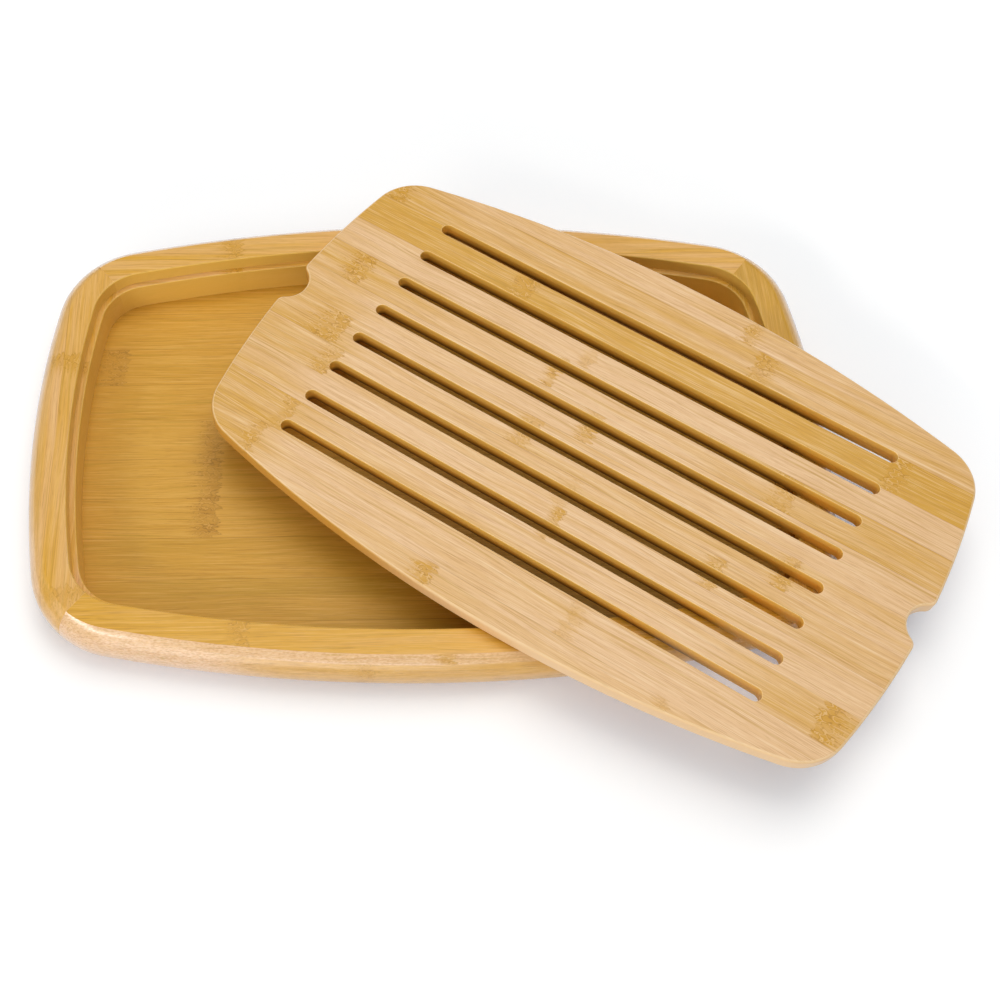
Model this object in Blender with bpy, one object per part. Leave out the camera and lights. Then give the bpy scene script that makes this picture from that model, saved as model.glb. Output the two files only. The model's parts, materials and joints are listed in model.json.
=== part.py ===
# Bread board with crumb tray: a slotted board that lifts off a mitred tray.
# Metres, +Z up. X runs along the tray, Y across it to the back, and the origin is the
# middle of the tray's underside. The board lies turned across the rim of the tray.

import math

import bmesh
import bpy
from mathutils import Matrix, Vector

# Gaps and clearances
GLUE_GAP = 0.0003  # kept between faces that are glued on the real one
REST_GAP = 0.0003  # kept between the rim and the board that lies on it
END_CLEARANCE = 0.0028  # between the seated board and the opening, at each end
SIDE_CLEARANCE = 0.0007  # the same at each long side
END_CURVE_EASE = 0.030  # how much tighter the board's ends curve than the opening's
SIDE_CURVE_EASE = 0.078  # the same for the long sides
CORNER_EASE = 0.0015  # how much smaller the board's corner radius is
BOARD_PROUD = 0.0008  # how far the seated board stands above the rim
OVERRUN = 0.003  # how far a cutter runs past what it cuts

# The tray's opening in plan: four bowed sides that meet in round corners
OPENING_LENGTH = 0.380
OPENING_WIDTH = 0.237
END_CURVE_RADIUS = 0.466
SIDE_CURVE_RADIUS = 0.796
CORNER_RADIUS = 0.0284
MITRE_ANGLE = math.radians(50)  # of each corner's glue line, from the tray's length

# The rails' section
RIM_WIDTH = 0.0137
RIM_EDGE_RADIUS = 0.0009
BULGE = 0.0081  # how far the outer face swells past the rim and the foot
BULGE_POWER = 2.6
LEDGE_WIDTH = 0.0032
LEDGE_EDGE_RADIUS = 0.0007
FLOOR_DEPTH = 0.0245  # from the rim down to the floor
FLOOR_THICKNESS = 0.0035
FLOOR_LAP = 0.005  # how far the floor reaches into the rails' rebate
FLOOR_STRIP_SHARE = 0.10253  # of the opening's width, from one glue line of the floor to the next
FLOOR_SEAM_SHARE = -0.0215  # of the same width, from the middle to one of the glue lines
FLOOR_SEAMS_TO_FRONT = 4
FLOOR_SEAMS_TO_BACK = 4

# The board
BOARD_THICKNESS = 0.0087
BOARD_EDGE_RADIUS = 0.0016
SLOT_COUNT = 8
SLOT_PITCH_SHARE = 0.09465  # of the board's width, from one slot to the next
SLOT_LENGTH = 0.276
SLOT_WIDTH = 0.007
SLOT_EDGE = 0.0005  # the eased edge of each slot
NOTCH_DEPTH = 0.0087
NOTCH_RADIUS = 0.012
NOTCH_LIP_RADIUS = 0.005
# The board's glue lines from its back edge to its front one, as shares of its width
STAVE_SEAM_SHARES = (0.426, 0.340, 0.246, 0.164, 0.0745, -0.010, -0.096, -0.1785, -0.264, -0.3524, -0.439)

# Where the board lies: its middle and its turn, seen from above
BOARD_PLACE_X = 0.0805
BOARD_PLACE_Y = -0.018
BOARD_TURN = math.radians(-34.57)

# Faces along each curve
END_STEPS = 8
SIDE_STEPS = 12
CORNER_STEPS = 4
NOTCH_STEPS = 5
LIP_STEPS = 4
SLOT_END_STEPS = 8
BULGE_STEPS = 12
EDGE_STEPS = 2
RAIL_SMOOTH_UNDER = math.radians(30)  # sharper edges than this stay crisp
BOARD_SMOOTH_UNDER = math.radians(50)

# Sizes that follow from the ones above
TRAY_HEIGHT = FLOOR_DEPTH + FLOOR_THICKNESS
REBATE_DEPTH = BOARD_THICKNESS - BOARD_PROUD
LEDGE_HEIGHT = TRAY_HEIGHT - REBATE_DEPTH
FLOOR_REBATE = FLOOR_LAP - LEDGE_WIDTH  # outwards from the opening's edge
BOARD_LENGTH = OPENING_LENGTH - 2 * END_CLEARANCE
BOARD_WIDTH = OPENING_WIDTH - 2 * SIDE_CLEARANCE
SLOT_PITCH = SLOT_PITCH_SHARE * BOARD_WIDTH
BOARD_HEIGHT = TRAY_HEIGHT + REST_GAP  # of its underside, above the table

QUARTER_TURN = math.pi / 2

# Colours as a picture shows them, 0 to 255
RAIL_COLOUR = (222, 170, 96)
FRONT_RAIL_COLOUR = (226, 176, 106)
FLOOR_COLOUR = (206, 156, 70)
STAVE_COLOURS = {
    "pinkish": (232, 190, 144),
    "light": (234, 197, 142),
    "tan": (228, 182, 122),
    "golden": (220, 168, 88),
}
STAVE_TONES = (
    "pinkish",
    "light",
    "golden",
    "pinkish",
    "tan",
    "light",
    "tan",
    "tan",
    "light",
    "tan",
    "pinkish",
    "light",
)
BAMBOO_ROUGHNESS = 0.5


def clear_scene():
    for thing in list(bpy.data.objects):
        bpy.data.objects.remove(thing, do_unlink=True)


def linear(channel):
    """A picture's colour channel, 0 to 255, as light."""
    share = channel / 255
    return share / 12.92 if share <= 0.04045 else ((share + 0.055) / 1.055) ** 2.4


def bamboo(name, colour):
    material = bpy.data.materials.new(name)
    material.use_nodes = True
    shader = material.node_tree.nodes["Principled BSDF"]
    shader.inputs["Base Color"].default_value = [linear(channel) for channel in colour] + [1]
    shader.inputs["Roughness"].default_value = BAMBOO_ROUGHNESS
    shader.inputs["Metallic"].default_value = 0
    material.diffuse_color = shader.inputs["Base Color"].default_value
    return material


def empty(name, place, turn):
    holder = bpy.data.objects.new(name, None)
    bpy.context.scene.collection.objects.link(holder)
    holder.location = place
    holder.rotation_euler.z = turn
    return holder


def add_object(name, mesh, holder):
    thing = bpy.data.objects.new(name, mesh)
    bpy.context.scene.collection.objects.link(thing)
    thing.parent = holder
    return thing


def add_cutter(name, mesh, holder):
    cutter = add_object(name, mesh, holder)
    cutter.hide_render = True
    cutter.display_type = "WIRE"
    return cutter


def add_cut(thing, name, cutter, operation):
    cut = thing.modifiers.new(name, "BOOLEAN")
    cut.object = cutter
    cut.operation = operation
    cut.solver = "EXACT"


def mesh_of(name, shapes, smooth_under):
    """A mesh of closed shapes, each a list of rings of points that are bridged and capped."""
    shape = bmesh.new()
    for rings in shapes:
        rows = [[shape.verts.new(point) for point in ring] for ring in rings]
        for low, high in zip(rows, rows[1:]):
            for here in range(len(low)):
                there = (here + 1) % len(low)
                shape.faces.new((low[here], low[there], high[there], high[here]))
        shape.faces.new(rows[0][::-1])
        shape.faces.new(rows[-1])
    bmesh.ops.recalc_face_normals(shape, faces=shape.faces)
    mesh = bpy.data.meshes.new(name)
    shape.to_mesh(mesh)
    shape.free()
    mesh.shade_smooth()
    mesh.set_sharp_from_angle(angle=smooth_under)
    return mesh


def box_mesh(name, low, high):
    shape = bmesh.new()
    size = Vector(high) - Vector(low)
    middle = (Vector(high) + Vector(low)) / 2
    bmesh.ops.create_cube(shape, size=1, matrix=Matrix.Translation(middle) @ Matrix.Diagonal(size.to_4d()))
    mesh = bpy.data.meshes.new(name)
    shape.to_mesh(mesh)
    shape.free()
    return mesh


def arc(centre, radius, start, end, steps):
    """Points along an arc, each with the direction outwards from the wood."""
    found = []
    for step in range(steps + 1):
        angle = start + (end - start) * step / steps
        outwards = Vector((math.cos(angle), math.sin(angle)))
        found.append((centre + radius * outwards, outwards))
    return found


def meeting(first, first_reach, second, second_reach):
    """The point at a given distance from each of two centres, on the far side from the front."""
    between = second - first
    along = (first_reach**2 - second_reach**2 + between.length_squared) / (2 * between.length)
    across = math.sqrt(first_reach**2 - along**2)
    forwards = between.normalized()
    sideways = Vector((-forwards.y, forwards.x))
    foot = first + along * forwards
    return max(foot + across * sideways, foot - across * sideways, key=lambda point: point.y)


def angle_to(start, end):
    return math.atan2(end.y - start.y, end.x - start.x)


def end_centre(length, end_radius):
    return Vector((length / 2 - end_radius, 0))


def side_centre(width, side_radius):
    return Vector((0, width / 2 - side_radius))


def corner_centre(length, width, end_radius, side_radius, corner_radius):
    return meeting(
        end_centre(length, end_radius),
        end_radius - corner_radius,
        side_centre(width, side_radius),
        side_radius - corner_radius,
    )


def flipped(points, x, y):
    """The points mirrored, in the order that keeps them running the same way round."""
    sign = Vector((x, y))
    return [(point * sign, outwards * sign) for point, outwards in reversed(points)]


def all_round(quarter):
    """The whole outline from its quarter between +X and +Y, anticlockwise."""
    half = quarter + flipped(quarter, -1, 1)[1:]
    return half + flipped(half, 1, -1)[1:-1]


def ring(outline, outwards, height):
    return [(point + outwards * way).to_3d() + Vector((0, 0, height)) for point, way in outline]


def tray_quarter():
    """A quarter of the opening's edge, as the part on the end rail and the part on the side rail."""
    sizes = (OPENING_LENGTH, OPENING_WIDTH, END_CURVE_RADIUS, SIDE_CURVE_RADIUS, CORNER_RADIUS)
    end = end_centre(OPENING_LENGTH, END_CURVE_RADIUS)
    side = side_centre(OPENING_WIDTH, SIDE_CURVE_RADIUS)
    corner = corner_centre(*sizes)
    end_turn = angle_to(end, corner)
    side_turn = angle_to(side, corner)
    on_end = arc(end, END_CURVE_RADIUS, 0, end_turn, END_STEPS)
    on_end += arc(corner, CORNER_RADIUS, end_turn, MITRE_ANGLE, CORNER_STEPS)[1:]
    on_side = arc(corner, CORNER_RADIUS, MITRE_ANGLE, side_turn, CORNER_STEPS)
    on_side += arc(side, SIDE_CURVE_RADIUS, side_turn, QUARTER_TURN, SIDE_STEPS)[1:]
    return on_end, on_side


def board_quarter():
    """A quarter of the board's edge: half a finger notch, its lip, the end, the corner and the side."""
    end_radius = END_CURVE_RADIUS - END_CURVE_EASE
    side_radius = SIDE_CURVE_RADIUS - SIDE_CURVE_EASE
    corner_radius = CORNER_RADIUS - CORNER_EASE
    end = end_centre(BOARD_LENGTH, end_radius)
    side = side_centre(BOARD_WIDTH, side_radius)
    corner = corner_centre(BOARD_LENGTH, BOARD_WIDTH, end_radius, side_radius, corner_radius)
    notch = Vector((BOARD_LENGTH / 2 - NOTCH_DEPTH + NOTCH_RADIUS, 0))
    lip = meeting(end, end_radius - NOTCH_LIP_RADIUS, notch, NOTCH_RADIUS + NOTCH_LIP_RADIUS)
    hollow = arc(notch, NOTCH_RADIUS, math.pi, angle_to(notch, lip), NOTCH_STEPS)
    quarter = [(point, -way) for point, way in hollow]
    quarter += arc(lip, NOTCH_LIP_RADIUS, angle_to(lip, notch), angle_to(end, lip), LIP_STEPS)[1:]
    end_turn = angle_to(end, corner)
    side_turn = angle_to(side, corner)
    quarter += arc(end, end_radius, angle_to(end, lip), end_turn, END_STEPS)[1:]
    quarter += arc(corner, corner_radius, end_turn, side_turn, 2 * CORNER_STEPS)[1:]
    quarter += arc(side, side_radius, side_turn, QUARTER_TURN, SIDE_STEPS)[1:]
    return quarter


def rounded_edge(radius):
    """Steps of a rounded edge from a flat face to the wall: how far in from the wall, and how deep."""
    angles = [QUARTER_TURN * step / EDGE_STEPS for step in range(EDGE_STEPS + 1)]
    return [(radius * (1 - math.sin(angle)), radius * (1 - math.cos(angle))) for angle in angles]


def rail_section():
    """The rail cut across: how far out from the opening's edge, and how high above the table."""
    section = [(inwards, TRAY_HEIGHT - depth) for inwards, depth in rounded_edge(RIM_EDGE_RADIUS)[::-1]]
    for step in range(BULGE_STEPS + 1):
        share = (1 - math.cos(math.pi * step / BULGE_STEPS)) / 2
        swell = BULGE * (1 - abs(2 * share - 1) ** BULGE_POWER)
        section.append((RIM_WIDTH + swell, TRAY_HEIGHT * (1 - share)))
    section.append((FLOOR_REBATE, 0))
    section.append((FLOOR_REBATE, FLOOR_THICKNESS + GLUE_GAP))
    section.append((-LEDGE_WIDTH, FLOOR_THICKNESS + GLUE_GAP))
    for inwards, depth in rounded_edge(LEDGE_EDGE_RADIUS)[::-1]:
        section.append((inwards - LEDGE_WIDTH, LEDGE_HEIGHT - depth))
    section.append((0, LEDGE_HEIGHT))
    return section


def rail_mesh(name, path):
    """The rail's section swept along its stretch of the opening, cut short of each mitre."""
    section = rail_section()
    rings = []
    last = len(path) - 1
    for place, (point, outwards) in enumerate(path):
        along = Vector((-outwards.y, outwards.x)) * GLUE_GAP / 2
        shift = along if place == 0 else -along if place == last else Vector((0, 0))
        rings.append([(point + shift + outwards * out).to_3d() + Vector((0, 0, up)) for out, up in section])
    return mesh_of(name, [rings], RAIL_SMOOTH_UNDER)


def make_rails(holder):
    on_end, on_side = tray_quarter()
    right = flipped(on_end, 1, -1)[:-1] + on_end
    back = on_side + flipped(on_side, -1, 1)[1:]
    paths = {
        "rail_right": right,
        "rail_left": flipped(right, -1, 1),
        "rail_back": back,
        "rail_front": flipped(back, 1, -1),
    }
    for name, path in paths.items():
        rail = add_object(name, rail_mesh(name, path), holder)
        colour = FRONT_RAIL_COLOUR if name == "rail_front" else RAIL_COLOUR
        rail.data.materials.append(bamboo(name, colour))


def slices(name, blank, seams, reach, top, holder):
    """Objects that share one mesh, each cut down to the strip between two seams, from the back."""
    edges = [reach + OVERRUN] + list(seams) + [-reach - OVERRUN]
    made = []
    for number, (back, front) in enumerate(zip(edges, edges[1:]), start=1):
        strip = add_object(f"{name}_{number:02d}", blank.copy(), holder)
        low = (-OPENING_LENGTH, front + GLUE_GAP / 2, -OVERRUN)
        high = (OPENING_LENGTH, back - GLUE_GAP / 2, top + OVERRUN)
        cutter_name = f"{name}_{number:02d}_keep"
        cutter = add_cutter(cutter_name, box_mesh(cutter_name, low, high), holder)
        add_cut(strip, "between glue lines", cutter, "INTERSECT")
        made.append(strip)
    return made


def make_floor(holder):
    """The floor's strips, lying in the rebate under the four rails."""
    on_end, on_side = tray_quarter()
    outline = all_round(on_end + on_side[1:])
    reach = FLOOR_REBATE - GLUE_GAP
    levels = [ring(outline, reach, 0), ring(outline, reach, FLOOR_THICKNESS)]
    blank = mesh_of("floor_blank", [levels], RAIL_SMOOTH_UNDER)
    counts = range(FLOOR_SEAMS_TO_BACK, -FLOOR_SEAMS_TO_FRONT - 1, -1)
    seams = [OPENING_WIDTH * (FLOOR_SEAM_SHARE + count * FLOOR_STRIP_SHARE) for count in counts]
    strips = slices("floor_strip", blank, seams, OPENING_WIDTH / 2 + reach, FLOOR_THICKNESS, holder)
    for strip in strips:
        strip.data.materials.append(bamboo(strip.name, FLOOR_COLOUR))


def slot_outline(middle):
    """A slot with round ends, centred across the board at the given place."""
    radius = SLOT_WIDTH / 2
    right = Vector((SLOT_LENGTH / 2 - radius, middle))
    left = Vector((radius - SLOT_LENGTH / 2, middle))
    outline = arc(right, radius, -QUARTER_TURN, QUARTER_TURN, SLOT_END_STEPS)
    return outline + arc(left, radius, QUARTER_TURN, 3 * QUARTER_TURN, SLOT_END_STEPS)


def slots_mesh():
    """All the slots as solids that flare at both faces of the board."""
    flare = SLOT_EDGE + OVERRUN
    levels = (
        (flare, -OVERRUN),
        (0, SLOT_EDGE),
        (0, BOARD_THICKNESS - SLOT_EDGE),
        (flare, BOARD_THICKNESS + OVERRUN),
    )
    places = [((SLOT_COUNT - 1) / 2 - number) * SLOT_PITCH for number in range(SLOT_COUNT)]
    shapes = [[ring(slot_outline(place), out, up) for out, up in levels] for place in places]
    return mesh_of("slots", shapes, BOARD_SMOOTH_UNDER)


def board_mesh():
    """The whole board before it is slotted, with its edges rounded over."""
    outline = all_round(board_quarter())
    edge = rounded_edge(BOARD_EDGE_RADIUS)
    levels = [(-inwards, depth) for inwards, depth in edge]
    levels += [(-inwards, BOARD_THICKNESS - depth) for inwards, depth in reversed(edge)]
    return mesh_of("board_blank", [[ring(outline, out, up) for out, up in levels]], BOARD_SMOOTH_UNDER)


def make_board(holder):
    seams = [share * BOARD_WIDTH for share in STAVE_SEAM_SHARES]
    staves = slices("board_stave", board_mesh(), seams, BOARD_WIDTH / 2, BOARD_THICKNESS, holder)
    slots = add_cutter("slots", slots_mesh(), holder)
    for stave, tone in zip(staves, STAVE_TONES):
        add_cut(stave, "slots", slots, "DIFFERENCE")
        stave.data.materials.append(bamboo(stave.name, STAVE_COLOURS[tone]))


clear_scene()
tray = empty("tray", (0, 0, 0), 0)
board = empty("board", (BOARD_PLACE_X, BOARD_PLACE_Y, BOARD_HEIGHT), BOARD_TURN)
make_rails(tray)
make_floor(tray)
make_board(board)
bpy.context.view_layer.update()
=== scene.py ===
import json
import math

import bpy
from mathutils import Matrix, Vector

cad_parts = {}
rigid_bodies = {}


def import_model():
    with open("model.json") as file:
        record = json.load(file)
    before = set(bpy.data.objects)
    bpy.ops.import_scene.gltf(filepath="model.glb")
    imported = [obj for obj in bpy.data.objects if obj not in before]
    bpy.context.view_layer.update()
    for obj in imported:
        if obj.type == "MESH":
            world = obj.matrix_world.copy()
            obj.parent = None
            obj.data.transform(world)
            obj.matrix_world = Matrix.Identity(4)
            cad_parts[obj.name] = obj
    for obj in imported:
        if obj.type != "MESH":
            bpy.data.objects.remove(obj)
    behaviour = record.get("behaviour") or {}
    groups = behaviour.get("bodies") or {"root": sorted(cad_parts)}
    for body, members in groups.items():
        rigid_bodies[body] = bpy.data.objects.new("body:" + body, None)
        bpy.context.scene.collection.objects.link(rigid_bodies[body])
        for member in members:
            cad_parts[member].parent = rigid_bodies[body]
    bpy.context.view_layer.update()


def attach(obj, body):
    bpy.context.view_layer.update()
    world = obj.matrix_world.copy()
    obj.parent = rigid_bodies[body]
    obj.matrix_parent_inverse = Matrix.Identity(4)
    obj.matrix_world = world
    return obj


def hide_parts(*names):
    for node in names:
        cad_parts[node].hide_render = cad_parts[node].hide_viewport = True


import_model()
print("frame loaded")

millimetre = 0.001
quarterTurn = math.pi / 2
samePlace = 0.00001  # two points nearer than this are one
slabSmoothAngle = 30  # edges flatter than this are shaded smooth

# the opening of the tray in plan: four bowed sides and round corners, in metres
opening = {
    "length": 0.380,
    "width": 0.237,
    "endRadius": 0.466,
    "sideRadius": 0.796,
    "cornerRadius": 0.0284,
    "mitreAngle": math.radians(50),
    "endSteps": 20,
    "sideSteps": 32,
    "cornerSteps": 10,
}

# a rail cut across
rail = {
    "height": 0.028,
    "rimWidth": 0.0137,
    "rimEdge": 0.0009,
    "softRidge": 0.0026,
    "softSteps": 7,
    "bulge": 0.0081,
    "bulgePower": 2.6,
    "bulgeSteps": 22,
    "footEdge": 0.0008,
    "ledgeDepth": 0.0079,
    "ledgeWidth": 0.0032,
    "ledgeEdge": 0.0007,
    "floorThickness": 0.0035,
    "floorRebate": 0.0018,
    "mitreGroove": 0.00008,
    "edgeSteps": 5,
    "shortestShare": 0.004,
    "smoothAngle": 24,
    "seed": 40,
}

# the board, in its own frame with its middle at the origin
board = {
    "length": 0.3744,
    "width": 0.2356,
    "endRadius": 0.436,
    "sideRadius": 0.718,
    "cornerRadius": 0.0269,
    "thickness": 0.0087,
    "edge": 0.0016,
    "edgeSteps": 5,
    "notchDepth": 0.0087,
    "notchRadius": 0.012,
    "lipRadius": 0.005,
    "notchSteps": 14,
    "lipSteps": 8,
    "endSteps": 20,
    "cornerSteps": 20,
    "sideSteps": 32,
    "slots": 8,
    "slotPitch": 0.0223,
    "slotLength": 0.276,
    "slotWidth": 0.007,
    "slotSteps": 14,
    "slotEdge": 0.0004,
    "slotEdgeSteps": 3,
    "seams": (0.426, 0.340, 0.246, 0.164, 0.0745, -0.010, -0.096, -0.1785, -0.264, -0.3524, -0.439),
    "place": (0.0805, -0.018, 0.0283),
    "turn": math.radians(-34.57),
}

# the floor's strips, from back to front
floorPanel = {
    "seamShare": -0.0215,
    "stripShare": 0.10253,
    "toFront": 4,
    "toBack": 4,
    "clearance": 0.0002,
    "seed": 20,
}


# working by hand, in edit mode


def deselectAll():
    for thing in bpy.context.scene.objects:
        thing.select_set(False)


def activate(piece):
    deselectAll()
    bpy.context.view_layer.objects.active = piece
    piece.select_set(True)


def startPoint(name, place):
    # a small plane, merged to the one point that a line is drawn from
    deselectAll()
    bpy.ops.mesh.primitive_plane_add(size=millimetre, location=place)
    piece = bpy.context.object
    piece.name = name
    bpy.ops.object.transform_apply(location=True, rotation=True, scale=True)
    bpy.ops.object.mode_set(mode="EDIT")
    bpy.ops.mesh.select_mode(type="VERT")
    bpy.ops.mesh.select_all(action="SELECT")
    bpy.ops.mesh.merge(type="CENTER")
    return piece


def turnAbout(centre, angle, steps, axis=(0, 0, 1)):
    # spin counts its angle clockwise
    bpy.ops.mesh.spin(steps=steps, angle=-angle, center=centre, axis=axis)


def drawBy(x, y, z):
    bpy.ops.mesh.extrude_region_move(TRANSFORM_OT_translate={"value": (x, y, z)})


def leaveEdit():
    bpy.ops.object.mode_set(mode="OBJECT")


def selectEdges(piece, wanted):
    # wanted is asked about the two ends of each edge
    leaveEdit()
    bpy.context.tool_settings.mesh_select_mode = (False, True, False)
    mesh = piece.data
    for face in mesh.polygons:
        face.select = False
    for point in mesh.vertices:
        point.select = False
    for edge in mesh.edges:
        a, b = (mesh.vertices[i].co for i in edge.vertices)
        edge.select = wanted(a, b)
    bpy.ops.object.mode_set(mode="EDIT")


def closeLoop(piece):
    # joins the two ends of a drawn line
    leaveEdit()
    mesh = piece.data
    uses = {}
    for edge in mesh.edges:
        edge.select = False
        for i in edge.vertices:
            uses[i] = uses.get(i, 0) + 1
    for point in mesh.vertices:
        point.select = uses.get(point.index, 0) == 1
    bpy.ops.object.mode_set(mode="EDIT")
    bpy.ops.mesh.edge_face_add()
    bpy.ops.mesh.select_all(action="SELECT")


def applyModifier(piece, kind, **settings):
    activate(piece)
    bpy.ops.object.modifier_add(type=kind)
    modifier = piece.modifiers[-1]
    for name, value in settings.items():
        setattr(modifier, name, value)
    bpy.ops.object.modifier_apply(modifier=modifier.name)


def copyOf(piece, name):
    activate(piece)
    bpy.ops.object.duplicate()
    made = bpy.context.object
    made.name = name
    made.data.name = name
    return made


def remove(piece):
    bpy.data.objects.remove(piece, do_unlink=True)


def finishShading(piece, angle):
    activate(piece)
    bpy.ops.object.shade_smooth_by_angle(angle=math.radians(angle))
    applyModifier(piece, "WEIGHTED_NORMAL", mode="FACE_AREA", weight=90, keep_sharp=True)


def placeInMesh(piece, place, turn):
    activate(piece)
    piece.location = place
    piece.rotation_euler.z = turn
    bpy.ops.object.transform_apply(location=True, rotation=True, scale=True)


# curves in plan


def meeting(first, firstReach, second, secondReach):
    # the point at a given distance from each of two centres, on the back's side
    between = second - first
    along = (firstReach**2 - secondReach**2 + between.length_squared) / (2 * between.length)
    across = math.sqrt(firstReach**2 - along**2)
    forwards = between.normalized()
    sideways = Vector((-forwards.y, forwards.x))
    foot = first + along * forwards
    return max(foot + across * sideways, foot - across * sideways, key=lambda point: point.y)


def angleTo(start, end):
    return math.atan2(end.y - start.y, end.x - start.x)


def barrel(sizes):
    # the centres of an end's, a side's and a corner's curve, and the turns where they meet
    end = Vector((sizes["length"] / 2 - sizes["endRadius"], 0))
    side = Vector((0, sizes["width"] / 2 - sizes["sideRadius"]))
    corner = meeting(
        end,
        sizes["endRadius"] - sizes["cornerRadius"],
        side,
        sizes["sideRadius"] - sizes["cornerRadius"],
    )
    return end, side, corner, angleTo(end, corner), angleTo(side, corner)


# the rails


def bulgeAt(start, share):
    # a point of the outer face, with share 0 at the rim and 1 at the foot
    swell = rail["bulge"] * (1 - abs(2 * share - 1) ** rail["bulgePower"])
    return start + rail["rimWidth"] + swell, rail["height"] * (1 - share)


def ridgePoints(start, softly):
    # the points from the flat rim to the outer face, and the share where they end
    ridge = Vector((start + rail["rimWidth"], rail["height"]))
    if not softly:
        return [ridge], 0
    share = rail["softRidge"] / rail["height"]
    first = ridge - Vector((rail["softRidge"], 0))
    last = Vector(bulgeAt(start, share))
    ways = [step / rail["softSteps"] for step in range(rail["softSteps"] + 1)]
    return [first.lerp(ridge, way).lerp(ridge.lerp(last, way), way) for way in ways], share


def drawSection(name, corner, offset, softly):
    # the rail's outline in a plane through the corner's centre, drawn from the rim's inner edge
    height = rail["height"]
    edge = rail["rimEdge"]
    start = corner.x + offset
    through = (0, 1, 0)
    piece = startPoint(name, (start, corner.y, height - edge))
    turnAbout((start + edge, corner.y, height - edge), quarterTurn, rail["edgeSteps"], through)
    outer, eased = ridgePoints(start, softly)
    for step in range(1, rail["bulgeSteps"]):
        share = (1 - math.cos(math.pi * step / rail["bulgeSteps"])) / 2
        if share > eased + rail["shortestShare"]:
            outer.append(bulgeAt(start, share))
    # the foot is eased a little
    foot = start + rail["rimWidth"]
    ease = 0.4 * rail["footEdge"]
    outer.append((foot + ease, ease))
    outer.append((foot - rail["footEdge"], 0))
    inner = [
        (start + rail["floorRebate"], 0),
        (start + rail["floorRebate"], rail["floorThickness"]),
        (start - rail["ledgeWidth"], rail["floorThickness"]),
        (start - rail["ledgeWidth"], height - rail["ledgeDepth"] - rail["ledgeEdge"]),
    ]
    at = (start + edge, height)
    for point in outer + inner:
        drawBy(point[0] - at[0], 0, point[1] - at[1])
        at = point
    centre = (at[0] + rail["ledgeEdge"], corner.y, at[1])
    turnAbout(centre, quarterTurn, rail["edgeSteps"], through)
    drawBy(rail["ledgeWidth"] - rail["ledgeEdge"], 0, 0)
    closeLoop(piece)
    return piece


def turnSection(centre, angle):
    # with no window, rotate turns the other way
    bpy.ops.transform.rotate(value=-angle, orient_axis="Z", center_override=centre)


def sweepRail(name, corner, start, turns, softly):
    # turns are (centre, angle, steps), one after another along the rail
    piece = drawSection(name, corner, opening["cornerRadius"], softly)
    turnSection((corner.x, corner.y, 0), start)
    for centre, angle, steps in turns:
        turnAbout((centre.x, centre.y, 0), angle, steps)
    bpy.ops.mesh.select_all(action="DESELECT")
    bpy.ops.mesh.select_mode(type="EDGE")
    bpy.ops.mesh.select_non_manifold()
    bpy.ops.mesh.fill_holes(sides=0)
    bpy.ops.mesh.select_all(action="SELECT")
    bpy.ops.mesh.normals_make_consistent(inside=False)
    grooveMitres(piece)
    leaveEdit()
    finishShading(piece, rail["smoothAngle"])
    return piece


def grooveMitres(piece):
    # the long edges of the two end faces are eased, so the joint shows as a fine line
    leaveEdit()
    bpy.context.tool_settings.mesh_select_mode = (False, False, True)
    for edge in piece.data.edges:
        edge.select = False
    for point in piece.data.vertices:
        point.select = False
    for face in piece.data.polygons:
        face.select = len(face.vertices) > 8
    bpy.ops.object.mode_set(mode="EDIT")
    bpy.ops.mesh.region_to_loop()
    bpy.ops.mesh.bevel(offset=rail["mitreGroove"], segments=1, affect="EDGES", clamp_overlap=False)


def mirrored(piece, name, x, y):
    made = copyOf(piece, name)
    made.scale = (x, y, 1)
    bpy.ops.object.transform_apply(location=True, rotation=True, scale=True)
    bpy.ops.object.mode_set(mode="EDIT")
    bpy.ops.mesh.select_all(action="SELECT")
    bpy.ops.mesh.normals_make_consistent(inside=False)
    leaveEdit()
    finishShading(made, rail["smoothAngle"])
    return made


def makeRails():
    end, side, corner, endTurn, sideTurn = barrel(opening)
    low = Vector((corner.x, -corner.y))
    left = Vector((-corner.x, corner.y))
    mitre = opening["mitreAngle"]
    steps = opening["cornerSteps"]
    right = sweepRail(
        "rightRail",
        low,
        -mitre,
        [
            (low, mitre - endTurn, steps),
            (end, 2 * endTurn, opening["endSteps"] * 2),
            (corner, mitre - endTurn, steps),
        ],
        True,
    )
    back = sweepRail(
        "backRail",
        corner,
        mitre,
        [
            (corner, sideTurn - mitre, steps),
            (side, math.pi - 2 * sideTurn, opening["sideSteps"] * 2),
            (left, sideTurn - mitre, steps),
        ],
        False,
    )
    return {
        "rail_right": right,
        "rail_back": back,
        "rail_left": mirrored(right, "leftRail", -1, 1),
        "rail_front": mirrored(back, "frontRail", 1, -1),
    }


# the slabs that are cut into strips


def mirrorAndFill(piece, thickness):
    # a quarter of an outline becomes the whole, and gets its thickness
    leaveEdit()
    applyModifier(piece, "MIRROR", use_axis=(True, True, False), merge_threshold=samePlace)
    bpy.ops.object.mode_set(mode="EDIT")
    bpy.ops.mesh.select_all(action="SELECT")
    bpy.ops.mesh.remove_doubles(threshold=samePlace)
    bpy.ops.mesh.edge_face_add()
    bpy.ops.mesh.extrude_region_move(TRANSFORM_OT_translate={"value": (0, 0, thickness)})
    bpy.ops.mesh.select_all(action="SELECT")
    bpy.ops.mesh.normals_make_consistent(inside=False)


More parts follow.
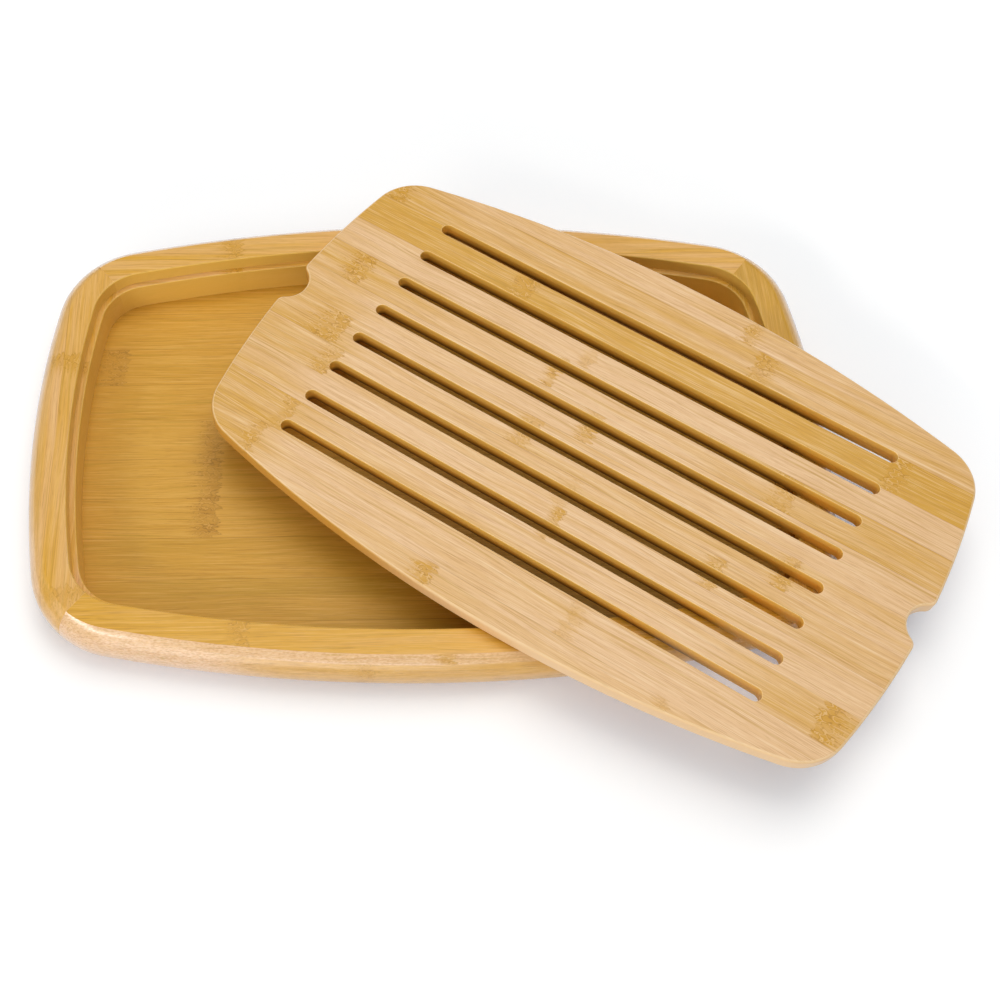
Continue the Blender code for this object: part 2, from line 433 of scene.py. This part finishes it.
def cutStrip(slab, name, back, front):
    # the part of the slab between two glue lines
    piece = copyOf(slab, name)
    bpy.ops.object.mode_set(mode="EDIT")
    for place, way in ((back, 1), (front, -1)):
        if place is None:
            continue
        bpy.ops.mesh.select_all(action="SELECT")
        bpy.ops.mesh.bisect(
            plane_co=(0, place, 0),
            plane_no=(0, way, 0),
            use_fill=True,
            clear_outer=True,
            threshold=0.000001,
        )
    bpy.ops.mesh.select_all(action="SELECT")
    bpy.ops.mesh.normals_make_consistent(inside=False)
    leaveEdit()
    return piece


def makeFloor():
    end, side, corner, endTurn, sideTurn = barrel(opening)
    reach = rail["floorRebate"] - floorPanel["clearance"]
    piece = startPoint("floorSlab", (opening["length"] / 2 + reach, 0, 0))
    turnAbout((end.x, end.y, 0), endTurn, opening["endSteps"])
    turnAbout((corner.x, corner.y, 0), sideTurn - endTurn, opening["cornerSteps"] * 2)
    turnAbout((side.x, side.y, 0), quarterTurn - sideTurn, opening["sideSteps"])
    mirrorAndFill(piece, rail["floorThickness"])
    leaveEdit()
    counts = range(floorPanel["toBack"], -floorPanel["toFront"] - 1, -1)
    shares = [floorPanel["seamShare"] + count * floorPanel["stripShare"] for count in counts]
    seams = [opening["width"] * share for share in shares]
    edges = [None] + seams + [None]
    strips = {}
    for number, (back, front) in enumerate(zip(edges, edges[1:]), start=1):
        strip = cutStrip(piece, f"floorStrip{number}", back, front)
        finishShading(strip, slabSmoothAngle)
        strips[f"floor_strip_{number:02d}"] = strip
    remove(piece)
    return strips, [seam / millimetre for seam in seams]


def drawBoardEdge():
    end, side, corner, endTurn, sideTurn = barrel(board)
    notch = Vector((board["length"] / 2 - board["notchDepth"] + board["notchRadius"], 0))
    lip = meeting(
        end,
        board["endRadius"] - board["lipRadius"],
        notch,
        board["notchRadius"] + board["lipRadius"],
    )
    lipTurn = angleTo(end, lip)
    piece = startPoint("boardSlab", (notch.x - board["notchRadius"], 0, 0))
    turnAbout((notch.x, notch.y, 0), angleTo(notch, lip) - math.pi, board["notchSteps"])
    turnAbout((lip.x, lip.y, 0), lipTurn - angleTo(lip, notch), board["lipSteps"])
    turnAbout((end.x, end.y, 0), endTurn - lipTurn, board["endSteps"])
    turnAbout((corner.x, corner.y, 0), sideTurn - endTurn, board["cornerSteps"])
    turnAbout((side.x, side.y, 0), quarterTurn - sideTurn, board["sideSteps"])
    return piece


def onAFace(a, b):
    # the edges of the top and the bottom, and not the upright ones
    return abs(a.z - b.z) < samePlace


def roundEdges(piece, wanted, width, steps):
    selectEdges(piece, wanted)
    bpy.ops.mesh.bevel(
        offset=width, segments=steps, affect="EDGES", clamp_overlap=False, loop_slide=False
    )
    leaveEdit()


def makeSlotCutter():
    radius = board["slotWidth"] / 2
    reach = board["slotLength"] / 2 - radius
    depth = 2 * board["thickness"]
    piece = startPoint("slotCutter", (reach, -radius, -board["thickness"] / 2))
    turnAbout((reach, 0, 0), math.pi, board["slotSteps"])
    drawBy(-2 * reach, 0, 0)
    turnAbout((-reach, 0, 0), math.pi, board["slotSteps"])
    bpy.ops.mesh.select_all(action="SELECT")
    closeLoop(piece)
    bpy.ops.mesh.edge_face_add()
    bpy.ops.mesh.extrude_region_move(TRANSFORM_OT_translate={"value": (0, 0, depth)})
    bpy.ops.mesh.select_all(action="SELECT")
    bpy.ops.mesh.normals_make_consistent(inside=False)
    bpy.ops.transform.translate(value=(0, (board["slots"] - 1) / 2 * board["slotPitch"], 0))
    for number in range(board["slots"] - 1):
        bpy.ops.mesh.duplicate_move(TRANSFORM_OT_translate={"value": (0, -board["slotPitch"], 0)})
    leaveEdit()
    return piece


def isSlotRim(a, b):
    # a level edge where a slot's wall meets a face of the board
    middle = board["thickness"] / 2
    if abs(a.z - b.z) > samePlace or abs(a.z - middle) < middle - samePlace:
        return False
    return inSlotWall(a) and inSlotWall(b)


def inSlotWall(point):
    radius = board["slotWidth"] / 2
    reach = board["slotLength"] / 2 - radius
    nearest = round(point.y / board["slotPitch"] + 0.5) - 0.5
    across = point.y - nearest * board["slotPitch"]
    along = max(abs(point.x) - reach, 0)
    offWall = abs(math.hypot(along, across) - radius)
    return abs(nearest) < board["slots"] / 2 and offWall < 2 * samePlace


def makeBoard():
    slab = drawBoardEdge()
    mirrorAndFill(slab, board["thickness"])
    roundEdges(slab, onAFace, board["edge"], board["edgeSteps"])
    cutter = makeSlotCutter()
    applyModifier(slab, "BOOLEAN", object=cutter, operation="DIFFERENCE", solver="EXACT")
    remove(cutter)
    activate(slab)
    roundEdges(slab, isSlotRim, board["slotEdge"], board["slotEdgeSteps"])
    seams = [share * board["width"] for share in board["seams"]]
    edges = [None] + seams + [None]
    staves = {}
    for number, (back, front) in enumerate(zip(edges, edges[1:]), start=1):
        stave = cutStrip(slab, f"stave{number}", back, front)
        placeInMesh(stave, board["place"], board["turn"])
        finishShading(stave, slabSmoothAngle)
        staves[f"board_stave_{number:02d}"] = stave
    remove(slab)
    return staves, [seam / millimetre for seam in seams]


# materials


class Wire:
    # a socket that can be written in expressions

    def __init__(self, tree, socket=None):
        self.tree = tree
        self.socket = socket

    def node(self, kind, settings=None, values=None, out=0):
        made = self.tree.nodes.new(kind)
        for name, value in (settings or {}).items():
            setattr(made, name, value)
        for name, value in (values or {}).items():
            if isinstance(value, Wire):
                self.tree.links.new(value.socket, made.inputs[name])
            else:
                made.inputs[name].default_value = value
        return Wire(self.tree, made.outputs[out])

    def other(self, out):
        # another socket of the same node
        return Wire(self.tree, self.socket.node.outputs[out])

    def maths(self, operation, *values):
        return self.node("ShaderNodeMath", {"operation": operation}, dict(enumerate(values)))

    def __add__(self, other):
        return self.maths("ADD", self, other)

    __radd__ = __add__

    def __sub__(self, other):
        return self.maths("SUBTRACT", self, other)

    def __rsub__(self, other):
        return self.maths("SUBTRACT", other, self)

    def __mul__(self, other):
        return self.maths("MULTIPLY", self, other)

    __rmul__ = __mul__

    def __truediv__(self, other):
        return self.maths("DIVIDE", self, other)

    def __abs__(self):
        return self.maths("ABSOLUTE", self)

    def most(self, other):
        return self if other is None else self.maths("MAXIMUM", self, other)

    def power(self, other):
        return self.maths("POWER", self, other)

    def smooth(self, start, end):
        # 0 at start, 1 at end, eased between
        settings = {"interpolation_type": "SMOOTHSTEP"}
        values = {"Value": self, "From Min": start, "From Max": end}
        if start >= end:
            values = {"Value": self, "From Min": end, "From Max": start, "To Min": 1, "To Max": 0}
        return self.node("ShaderNodeMapRange", settings, values)

    def blend(self, first, second):
        # colours, with this wire as the share of the second
        settings = {"data_type": "RGBA", "blend_type": "MIX", "clamp_factor": True}
        return self.node("ShaderNodeMix", settings, {0: self, 6: first, 7: second}, 2)

    def vectors(self, operation, first, second, out=0):
        settings = {"operation": operation}
        return self.node("ShaderNodeVectorMath", settings, {0: first, 1: second}, out)

    def noise(self, scales, place, detail, roughness=0.5):
        # noise whose grains are as long as scales say, in millimetres
        scaled = self.node(
            "ShaderNodeMapping",
            {"vector_type": "POINT"},
            {"Vector": self, "Location": place, "Scale": [1 / scale for scale in scales]},
        )
        return self.node(
            "ShaderNodeTexNoise",
            {"noise_dimensions": "3D", "normalize": True},
            {"Vector": scaled, "Scale": 1, "Detail": detail, "Roughness": roughness},
        )


def light(channel):
    share = channel / 255
    return share / 12.92 if share <= 0.04045 else ((share + 0.055) / 1.055) ** 2.4


def colour(red, green, blue):
    return (light(red), light(green), light(blue), 1)


boardWood = {
    "pale": colour(230, 188, 138),
    "honey": colour(213, 160, 58),
    # the colour of the steep cut faces is their own colour, made brighter as painted light on the
    # slot walls
    "cut": colour(252, 202, 92),
    "cutShare": 0.9,
    # the cream along the rounded edges is a painted highlight
    "edgeHighlight": 0.45,
    # the dark low in the slot walls is painted shade
    "slotShade": colour(76, 44, 16),
    "edge": colour(206, 150, 66),
    "paleEdge": colour(238, 200, 156),
    "olive": colour(194, 146, 48),
    "knuckle": colour(206, 150, 34),
    "scar": colour(142, 88, 26),
    "fibre": colour(172, 116, 44),
    "cream": colour(253, 226, 182),
    "roughness": 0.32,
    "specular": 0.30,
    "routedReach": (140, 83),
}

railWood = {
    "pale": colour(232, 186, 136),
    "honey": colour(219, 163, 48),
    # the colour of the steep cut faces is their own colour, made paler and brighter as painted
    # light on the inner walls
    "cut": colour(250, 208, 100),
    "cutShare": 0.85,
    # the cream along the rounded edges is a painted highlight
    "edgeHighlight": 0.12,
    "olive": colour(194, 146, 50),
    "knuckle": colour(206, 150, 40),
    "scar": colour(132, 86, 24),
    "fibre": colour(166, 112, 38),
    "cream": colour(246, 204, 132),
    "roughness": 0.34,
    "specular": 0.30,
    # the face colour on the outer faces is partly their own paler tone and partly painted light
    # from the front
    "face": colour(240, 198, 156),
    "speck": colour(204, 142, 84),
    "glint": colour(255, 228, 190),
    "coat": 1.0,
}

floorWood = {
    "pale": colour(214, 163, 66),
    "honey": colour(206, 152, 50),
    "cut": colour(206, 152, 50),
    "cutShare": 0.0,
    "edgeHighlight": 0.0,
    "olive": colour(184, 142, 40),
    "knuckle": colour(187, 135, 42),
    "scar": colour(98, 60, 16),
    "fibre": colour(158, 108, 34),
    "cream": colour(232, 184, 100),
    "roughness": 0.45,
    "specular": 0.25,
}

# what all the bamboo has in common: how strongly each mark is mixed in, and the surface
grainMarks = {
    "toneSwing": 1.6,
    "oliveStreak": 0.6,
    "creamStreak": 0.25,
    "fibre": 0.36,
    "creamFibre": 0.3,
    "dash": 0.25,
    "knuckleScar": 0.42,
    "knuckleCream": 0.35,
    "knuckleLine": 0.4,
    "speck": 0.45,
    "glint": 0.3,
    "roughSwing": 0.16,
    "coatRoughness": 0.16,
    "bumpStrength": 0.3,
    "bumpDepth": 0.00006,
    "seedSteps": (7.31, 3.77, 5.13),
}


def knuckleMasks(grain, along, knuckles, shift, parts):
    # the ring of a cane: one side is sharp and jagged, and the other runs out along the fibres
    # a knuckle may end with the name of the part of the piece that it is kept to
    ragged = grain.noise((7, 2.0, 2.0), shift, 2) - 0.5
    fibres = grain.noise((90, 0.8, 0.8), shift, 2) - 0.5
    patches = grain.noise((14, 4.0, 4.0), shift, 1)
    body = edge = None
    for place, half, strength, side, *kept in knuckles:
        off = (along - place) * side
        jagged = off + ragged * 13
        spread = (off / half + fibres * 5.5).smooth(-1.7, -0.3)
        inside = jagged.smooth(half + 0.8, half - 0.8) * spread
        one = inside * (patches.smooth(0.35, 0.6) * 0.4 + 0.6) * strength
        for part in kept:
            one = one * parts[part]
        line = abs(jagged - half).smooth(0.75, 0.15) * one
        body = one.most(body)
        edge = line.most(edge)
    return body, edge


def faceMasks(where):
    # the steep faces that look away from the middle of the tray, all steep ones, and the rounded
    # edges where a highlight is painted
    normal = where.node("ShaderNodeNewGeometry", out="Normal")
    level = where.vectors("MULTIPLY", normal, (1, 1, 0))
    away = where.vectors("DOT_PRODUCT", level, where, "Value")
    up = normal.node("ShaderNodeSeparateXYZ", values={0: normal}, out=2)
    highlightedEdges = up.smooth(0.995, 0.95) * up.smooth(0.55, 0.75)
    return away.smooth(0.0, 0.02) * up.smooth(0.975, 0.93), up.smooth(0.9, 0.6), highlightedEdges


def bamboo(name, place, turn, wood, look, seed, seams):
    # place and turn are of the frame in which the grain runs along X
    # seams are places across it, in millimetres
    material = bpy.data.materials.new(name)
    material.use_nodes = True
    tree = material.node_tree
    shader = tree.nodes["Principled BSDF"]
    where = Wire(tree).node("ShaderNodeTexCoord", out="Object")
    grain = where.node(
        "ShaderNodeMapping",
        {"vector_type": "TEXTURE"},
        {"Vector": where, "Location": place, "Rotation": (0, 0, turn), "Scale": (millimetre,) * 3},
    )
    along = grain.node("ShaderNodeSeparateXYZ", values={"Vector": grain})
    across = along.other(1)
    deep = along.other(2)
    shift = tuple(seed * step for step in grainMarks["seedSteps"])

    # the worked faces, and the two layers of the outer ones
    outer, steep, highlightedEdges = faceMasks(where)
    parts = {}
    if "outer" in look:
        height, start = look.get("lowLayer", (0, 0))
        low = deep.smooth(height + 0.3, height - 0.3) * along.smooth(start - 20, start + 25)
        parts = {"top": 1 - outer, "upper": outer * (1 - low), "low": outer * low}

    # the fibres wander a little, and curl at a knuckle
    moved = across + (grain.noise((80, 26, 26), shift, 1) - 0.5) * 5
    knuckles = look.get("knuckles", ())
    if knuckles:
        body, edge = knuckleMasks(grain, along, knuckles, shift, parts)
        moved = moved + body * (grain.noise((4.0, 3.0, 3.0), shift, 2) - 0.5) * 7
    drawn = grain.node("ShaderNodeCombineXYZ", values={"X": along, "Y": moved, "Z": deep})

    broad = drawn.noise((130, 6, 6), shift, 2)
    streak = drawn.noise((75, 1.5, 1.5), shift, 2, 0.55)
    fine = drawn.noise((26, 0.45, 0.45), shift, 2, 0.6)
    dash = drawn.noise((7, 0.3, 0.3), shift, 1)

    tone = (broad - 0.5) * grainMarks["toneSwing"] + look["tone"]
    for start, end, change in look.get("drift", ()):
        tone = tone + along.smooth(start, end) * change
    for start, end, change in look.get("layers", ()):
        layer = across.smooth(start - 0.15, start + 0.15) * across.smooth(end + 0.15, end - 0.15)
        tone = tone + layer * change
    mixed = tone.blend(wood["pale"], wood["honey"])
    # a share of olive makes the piece darker and greener
    if "oliveShare" in look:
        mixed = ((broad - 0.5) * 1.2 + look["oliveShare"]).blend(mixed, wood["olive"])
    if parts:
        # the outer faces are paler and pinker, partly their own colour and partly painted light
        # from the front, and a drift can fade it along
        outerFaceTintAndLight = parts["upper"] * look["outer"] + parts["low"] * (look["outer"] * 0.15)
        for start, end, change in look.get("outerDrift", ()):
            outerFaceTintAndLight = outerFaceTintAndLight * (along.smooth(start, end) * change + 1)
        mixed = outerFaceTintAndLight.blend(mixed, wood["face"])
    mixed = (streak.smooth(0.53, 0.74) * grainMarks["oliveStreak"]).blend(mixed, wood["olive"])
    mixed = (streak.smooth(0.45, 0.28) * grainMarks["creamStreak"]).blend(mixed, wood["cream"])
    mixed = (fine.smooth(0.53, 0.70) * grainMarks["fibre"]).blend(mixed, wood["fibre"])
    mixed = (fine.smooth(0.47, 0.32) * grainMarks["creamFibre"]).blend(mixed, wood["cream"])
    mixed = (dash.smooth(0.56, 0.72) * grainMarks["dash"]).blend(mixed, wood["fibre"])
    if knuckles:
        curls = grain.noise((4.2, 2.2, 2.2), shift, 1, 0.5)
        dark = abs(curls - 0.48).smooth(0.035, 0.008)
        pale = abs(curls - 0.56).smooth(0.035, 0.008)
        mixed = (body * (curls.smooth(0.3, 0.6) * 0.2 + 0.8)).blend(mixed, wood["knuckle"])
        mixed = (body * dark * grainMarks["knuckleScar"]).blend(mixed, wood["scar"])
        mixed = (body * pale * grainMarks["knuckleCream"]).blend(mixed, wood["cream"])
        line = edge * curls.smooth(0.4, 0.55) * grainMarks["knuckleLine"]
        mixed = line.blend(mixed, wood["scar"])
    if parts:
        specks = grain.noise((1.8, 0.7, 0.7), shift, 1)
        speck = outerFaceTintAndLight * specks.smooth(0.53, 0.66) * grainMarks["speck"]
        mixed = speck.blend(mixed, wood["speck"])
        glint = outerFaceTintAndLight * specks.smooth(0.46, 0.34) * grainMarks["glint"]
        mixed = glint.blend(mixed, wood["glint"])
        steep = steep * (1 - outer)
        coat = outer * wood["coat"]
        tree.links.new(coat.socket, shader.inputs["Coat Weight"])
    # the steep faces take the cut colour: their own colour and painted light
    mixed = (steep * look.get("cutShare", wood["cutShare"])).blend(mixed, wood["cut"])
    # painted highlight: cream along the rounded edges
    mixed = (highlightedEdges * wood["edgeHighlight"]).blend(mixed, wood["cream"])
    if "slots" in look:
        # painted shade: the routed walls are darker towards the underside, but less at the right
        # the edge all round is paler at the right
        # the slots lie within the routed reach from the middle, in millimetres
        reachAlong, reachAcross = wood["routedReach"]
        inside = abs(along).smooth(reachAlong, reachAlong - 1)
        inside = inside * abs(across).smooth(reachAcross, reachAcross - 1)
        slotShadeMask = deep.smooth(4.2, 0.8) * (along.smooth(125, 85) * 0.6 + 0.25)
        mixed = (steep * inside * slotShadeMask).blend(mixed, wood["slotShade"])
        rim = along.smooth(-80, 0).blend(wood["edge"], wood["paleEdge"])
        mixed = (steep * (1 - inside) * 0.85).blend(mixed, rim)
    line = None
    for seam in seams:
        line = abs(across - seam).smooth(0.28, 0.05).most(line)
    if line:
        glue = line * (1 - steep) * (broad.smooth(0.4, 0.6) * 0.3 + 0.08)
        mixed = glue.blend(mixed, wood["scar"])
    tree.links.new(mixed.socket, shader.inputs["Base Color"])

    swing = grainMarks["roughSwing"]
    rough = fine * swing + (wood["roughness"] - swing / 2)
    tree.links.new(rough.socket, shader.inputs["Roughness"])
    shader.inputs["Specular IOR Level"].default_value = wood["specular"]
    shader.inputs["Coat Roughness"].default_value = grainMarks["coatRoughness"]
    height = fine * 0.6 + dash * 0.4
    bump = height.node(
        "ShaderNodeBump",
        values={
            "Strength": grainMarks["bumpStrength"],
            "Distance": grainMarks["bumpDepth"],
            "Height": height,
        },
    )
    tree.links.new(bump.socket, shader.inputs["Normal"])
    return material


def dress(piece, node, body, material):
    piece.data.materials.clear()
    piece.data.materials.append(material)
    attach(piece, body)
    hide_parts(node)


print("making the tray")
rails = makeRails()
strips, floorSeams = makeFloor()
print("making the board")
staves, staveSeams = makeBoard()

# tone 0 is pale and pinkish, and 1 is honey
# a knuckle is its place along, its half width, its strength and its sharp side
# a drift is a change of tone from one place along to another
staveLooks = {
    1: {"tone": 0.22, "slot": "stave_pinkish", "knuckles": [(41, 4, 0.8, -1)]},
    2: {"tone": 0.50, "slot": "stave_light", "knuckles": [(-172, 5, 1.0, 1), (55, 5, 0.9, -1)]},
    3: {"tone": 1.05, "slot": "stave_golden", "knuckles": [(-78, 6, 0.9, 1), (141, 5, 0.9, -1)]},
    4: {"tone": -0.1, "slot": "stave_pinkish", "knuckles": [(-25, 3, 0.45, 1)]},
    5: {
        "tone": 0.15,
        "slot": "stave_tan",
        "drift": [(20, 110, 0.5), (-90, -130, 0.25)],
        "knuckles": [(-161, 6, 1.0, 1), (-36, 3, 0.9, 1), (99, 5, 0.7, 1)],
    },
    6: {
        "tone": 0.06,
        "slot": "stave_light",
        "drift": [(-120, -160, 0.25)],
        "knuckles": [(-2.5, 4, 0.9, 1)],
    },
    7: {
        "tone": 0.2,
        "slot": "stave_tan",
        "drift": [(-120, -150, 0.35)],
        "knuckles": [(-153, 9, 0.9, 1), (-29, 5, 0.8, 1), (119, 4.5, 0.9, 1)],
    },
    8: {
        "tone": 0.25,
        "slot": "stave_tan",
        "drift": [(-120, -160, 0.2)],
        "knuckles": [(-141, 5, 0.8, 1), (6, 4, 0.3, 1), (89, 4, 0.8, 1)],
    },
    9: {
        "tone": 0.0,
        "slot": "stave_light",
        "drift": [(-120, -160, 0.25)],
        "knuckles": [(9, 3, 1.0, 1)],
    },
    10: {
        "tone": 0.2,
        "slot": "stave_tan",
        "drift": [(100, 150, 0.4), (-90, -150, 0.5)],
        "knuckles": [(-140, 4, 0.7, 1), (170, 6, 1.0, -1)],
    },
    11: {
        "tone": 0.1,
        "slot": "stave_pinkish",
        "drift": [(44, 46, -0.2), (-110, -150, 0.45)],
        "knuckles": [(-146, 4, 0.8, 1), (44.5, 4, 0.5, -1)],
    },
    12: {"tone": 0.22, "slot": "stave_light", "knuckles": [(-30, 5, 1.0, 1), (100, 3, 0.5, 1)]},
}

# every stave turns a little more honey towards its left end
leftEndDrift = (-125, -165, 0.2)

for number, look in staveLooks.items():
    node = f"board_stave_{number:02d}"
    edges = staveSeams[max(number - 2, 0) : number]
    look["slots"] = True
    look["drift"] = [*look.get("drift", ()), leftEndDrift]
    title = f"bamboo stave {number}"
    material = bamboo(title, board["place"], board["turn"], boardWood, look, number, edges)
    dress(staves[node], node, "board", material)

floorLooks = {
    # strips 1 and 2 are more honey as painted shade near the back wall
    1: {"tone": 1.0},
    2: {"tone": 1.0},
    3: {"tone": 0.8, "knuckles": [(-175, 7, 0.7, 1)]},
    5: {"tone": 0.55, "knuckles": [(-119, 5, 0.6, 1)]},
    6: {"tone": 0.45, "knuckles": [(-119, 6, 0.8, 1)]},
    7: {"tone": 0.5, "knuckles": [(-119, 6, 1.0, 1)]},
    # strips 8 to 10 turn olive as painted shade near the front wall
    8: {"tone": 0.8, "oliveShare": 0.2},
    9: {"tone": 0.8, "oliveShare": 0.5},
    10: {"tone": 0.8, "oliveShare": 0.6},
}
# painted shade: the floor turns more honey towards the left wall
leftWallPaintedShade = (-150, -180, 0.6)

for number in range(1, 11):
    node = f"floor_strip_{number:02d}"
    edges = floorSeams[max(number - 2, 0) : number]
    look = floorLooks.get(number, {"tone": 0.8})
    look["drift"] = [leftWallPaintedShade]
    seed = floorPanel["seed"] + number
    material = bamboo(f"bamboo floor {number}", (0, 0, 0), 0, floorWood, look, seed, edges)
    dress(strips[node], node, "tray", material)

railLooks = {
    "rail_front": {
        "turn": 0,
        "tone": 1.0,
        # the outer share is partly painted light, and the outer drift fades it towards the right
        "outer": 0.9,
        "outerDrift": [(-10, 70, -0.5), (60, 110, -1.0)],
        "lowLayer": (24.5, -98),
        "layers": [(-106.1, -60, 0.4)],
        "knuckles": [(-96.5, 4, 0.9, 1, "top"), (4, 4, 0.9, 1, "upper"), (-36, 5, 0.7, 1, "low")],
        "seams": [-106.1],
    },
    "rail_back": {
        "turn": 0,
        "tone": 0.7,
        "outer": 0.4,
        "knuckles": [(-107.9, 5, 0.9, 1)],
        "seams": [111.6],
    },
    "rail_left": {
        "turn": quarterTurn,
        "tone": 0.75,
        "cutShare": 0.7,
        "outer": 0.05,
        "layers": [(197, 240, -0.15)],
        "knuckles": [(42.6, 5, 0.8, 1), (-97, 4, 0.6, 1)],
        "seams": [197],
    },
    "rail_right": {
        "turn": quarterTurn,
        "tone": 1.0,
        "oliveShare": 0.6,
        "outer": 0.2,
        "knuckles": [(30, 5, 0.7, 1)],
        "seams": [],
    },
}
for number, (node, look) in enumerate(railLooks.items()):
    seed = rail["seed"] + number
    seams = look["seams"]
    material = bamboo(f"bamboo {node}", (0, 0, 0), look["turn"], railWood, look, seed, seams)
    dress(rails[node], node, "tray", material)


# floor, light and camera

studio = {
    "floorSize": 6.0,
    "floorShade": (0.85, 0.85, 0.85, 1),
    "floorSeen": (0.945, 0.89, 0.81, 1),
    "glowNear": (0.085, 0.145, 0.225, 1),
    "glowFar": (0.55, 0.60, 0.68, 1),
    "glowReach": (0.24, 0.52),
    "worldEven": 0.22,
    "worldAbove": 1.05,
    "worldNarrow": 6,
    "keyPlace": (0.20, 0.60, 1.60),
    "keySize": (1.3, 1.3),
    "keyPower": 13.7,
    "frontPlace": (-0.4, -1.7, 0.30),
    "frontSize": (1.2, 0.8),
    "frontPower": 8.0,
    "sidePlace": (-0.99, -0.84, 0.70),
    "sideSize": (0.9, 0.16),
    "sidePower": 4.6,
    "lampTarget": (0.05, 0, 0.02),
}

photographView = {
    "place": (-0.03167, -0.37164, 0.60266),
    "turn": (0.45204, 0, -0.01656),
    "sensor": 36,
    "lens": 46.31,
    "shiftX": 0.1185,
    "shiftY": 0.0815,
    "nearest": 0.01,
}


def makeFloorPlane():
    deselectAll()
    bpy.ops.mesh.primitive_plane_add(size=studio["floorSize"], location=(0, 0, 0))
    plane = bpy.context.object
    plane.name = "studioFloor"
    material = bpy.data.materials.new("studio floor")
    material.use_nodes = True
    tree = material.node_tree
    shader = tree.nodes["Principled BSDF"]
    shader.inputs["Roughness"].default_value = 0.9
    shader.inputs["Specular IOR Level"].default_value = 0.1
    rays = Wire(tree).node("ShaderNodeLightPath", out="Is Camera Ray")
    where = rays.node("ShaderNodeTexCoord", out="Object")
    away = where.vectors("LENGTH", where, (0, 0, 0), "Value")
    shade = rays.blend(studio["floorShade"], studio["floorSeen"])
    tree.links.new(shade.socket, shader.inputs["Base Color"])
    start, end = studio["glowReach"]
    glow = away.smooth(start, end).blend(studio["glowNear"], studio["glowFar"])
    glow = rays.most(rays.other("Is Glossy Ray")).blend((0, 0, 0, 1), glow)
    tree.links.new(glow.socket, shader.inputs["Emission Color"])
    shader.inputs["Emission Strength"].default_value = 1
    plane.data.materials.append(material)


def makeWorld():
    # an even light all round, and more of it from straight above
    world = bpy.data.worlds.new("studio")
    bpy.context.scene.world = world
    world.use_nodes = True
    tree = world.node_tree
    background = tree.nodes["Background"]
    where = Wire(tree).node("ShaderNodeTexCoord", out="Generated")
    up = where.node("ShaderNodeSeparateXYZ", values={0: where}, out=2)
    above = up.most(0).power(studio["worldNarrow"]) * studio["worldAbove"] + studio["worldEven"]
    seen = up.node("ShaderNodeLightPath", out="Is Camera Ray")
    strength = seen + (1 - seen) * above
    tree.links.new(strength.socket, background.inputs["Strength"])
    background.inputs["Color"].default_value = (1, 1, 1, 1)


def addLamp(name, place, size, power):
    deselectAll()
    bpy.ops.object.light_add(type="AREA", location=place)
    lamp = bpy.context.object
    lamp.name = name
    lamp.data.shape = "RECTANGLE"
    lamp.data.size, lamp.data.size_y = size
    lamp.data.energy = power
    towards = Vector(studio["lampTarget"]) - Vector(place)
    lamp.rotation_euler = towards.to_track_quat("-Z", "Y").to_euler()


def makeCamera():
    deselectAll()
    bpy.ops.object.camera_add(location=photographView["place"], rotation=photographView["turn"])
    camera = bpy.context.object
    camera.data.sensor_width = photographView["sensor"]
    camera.data.lens = photographView["lens"]
    camera.data.shift_x = photographView["shiftX"]
    camera.data.shift_y = photographView["shiftY"]
    camera.data.clip_start = photographView["nearest"]
    bpy.context.scene.camera = camera


print("lighting the scene")
makeFloorPlane()
makeWorld()
addLamp("keyLamp", studio["keyPlace"], studio["keySize"], studio["keyPower"])
addLamp("frontLamp", studio["frontPlace"], studio["frontSize"], studio["frontPower"])
addLamp("sideLamp", studio["sidePlace"], studio["sideSize"], studio["sidePower"])
makeCamera()
bpy.context.scene.view_settings.view_transform = "Standard"
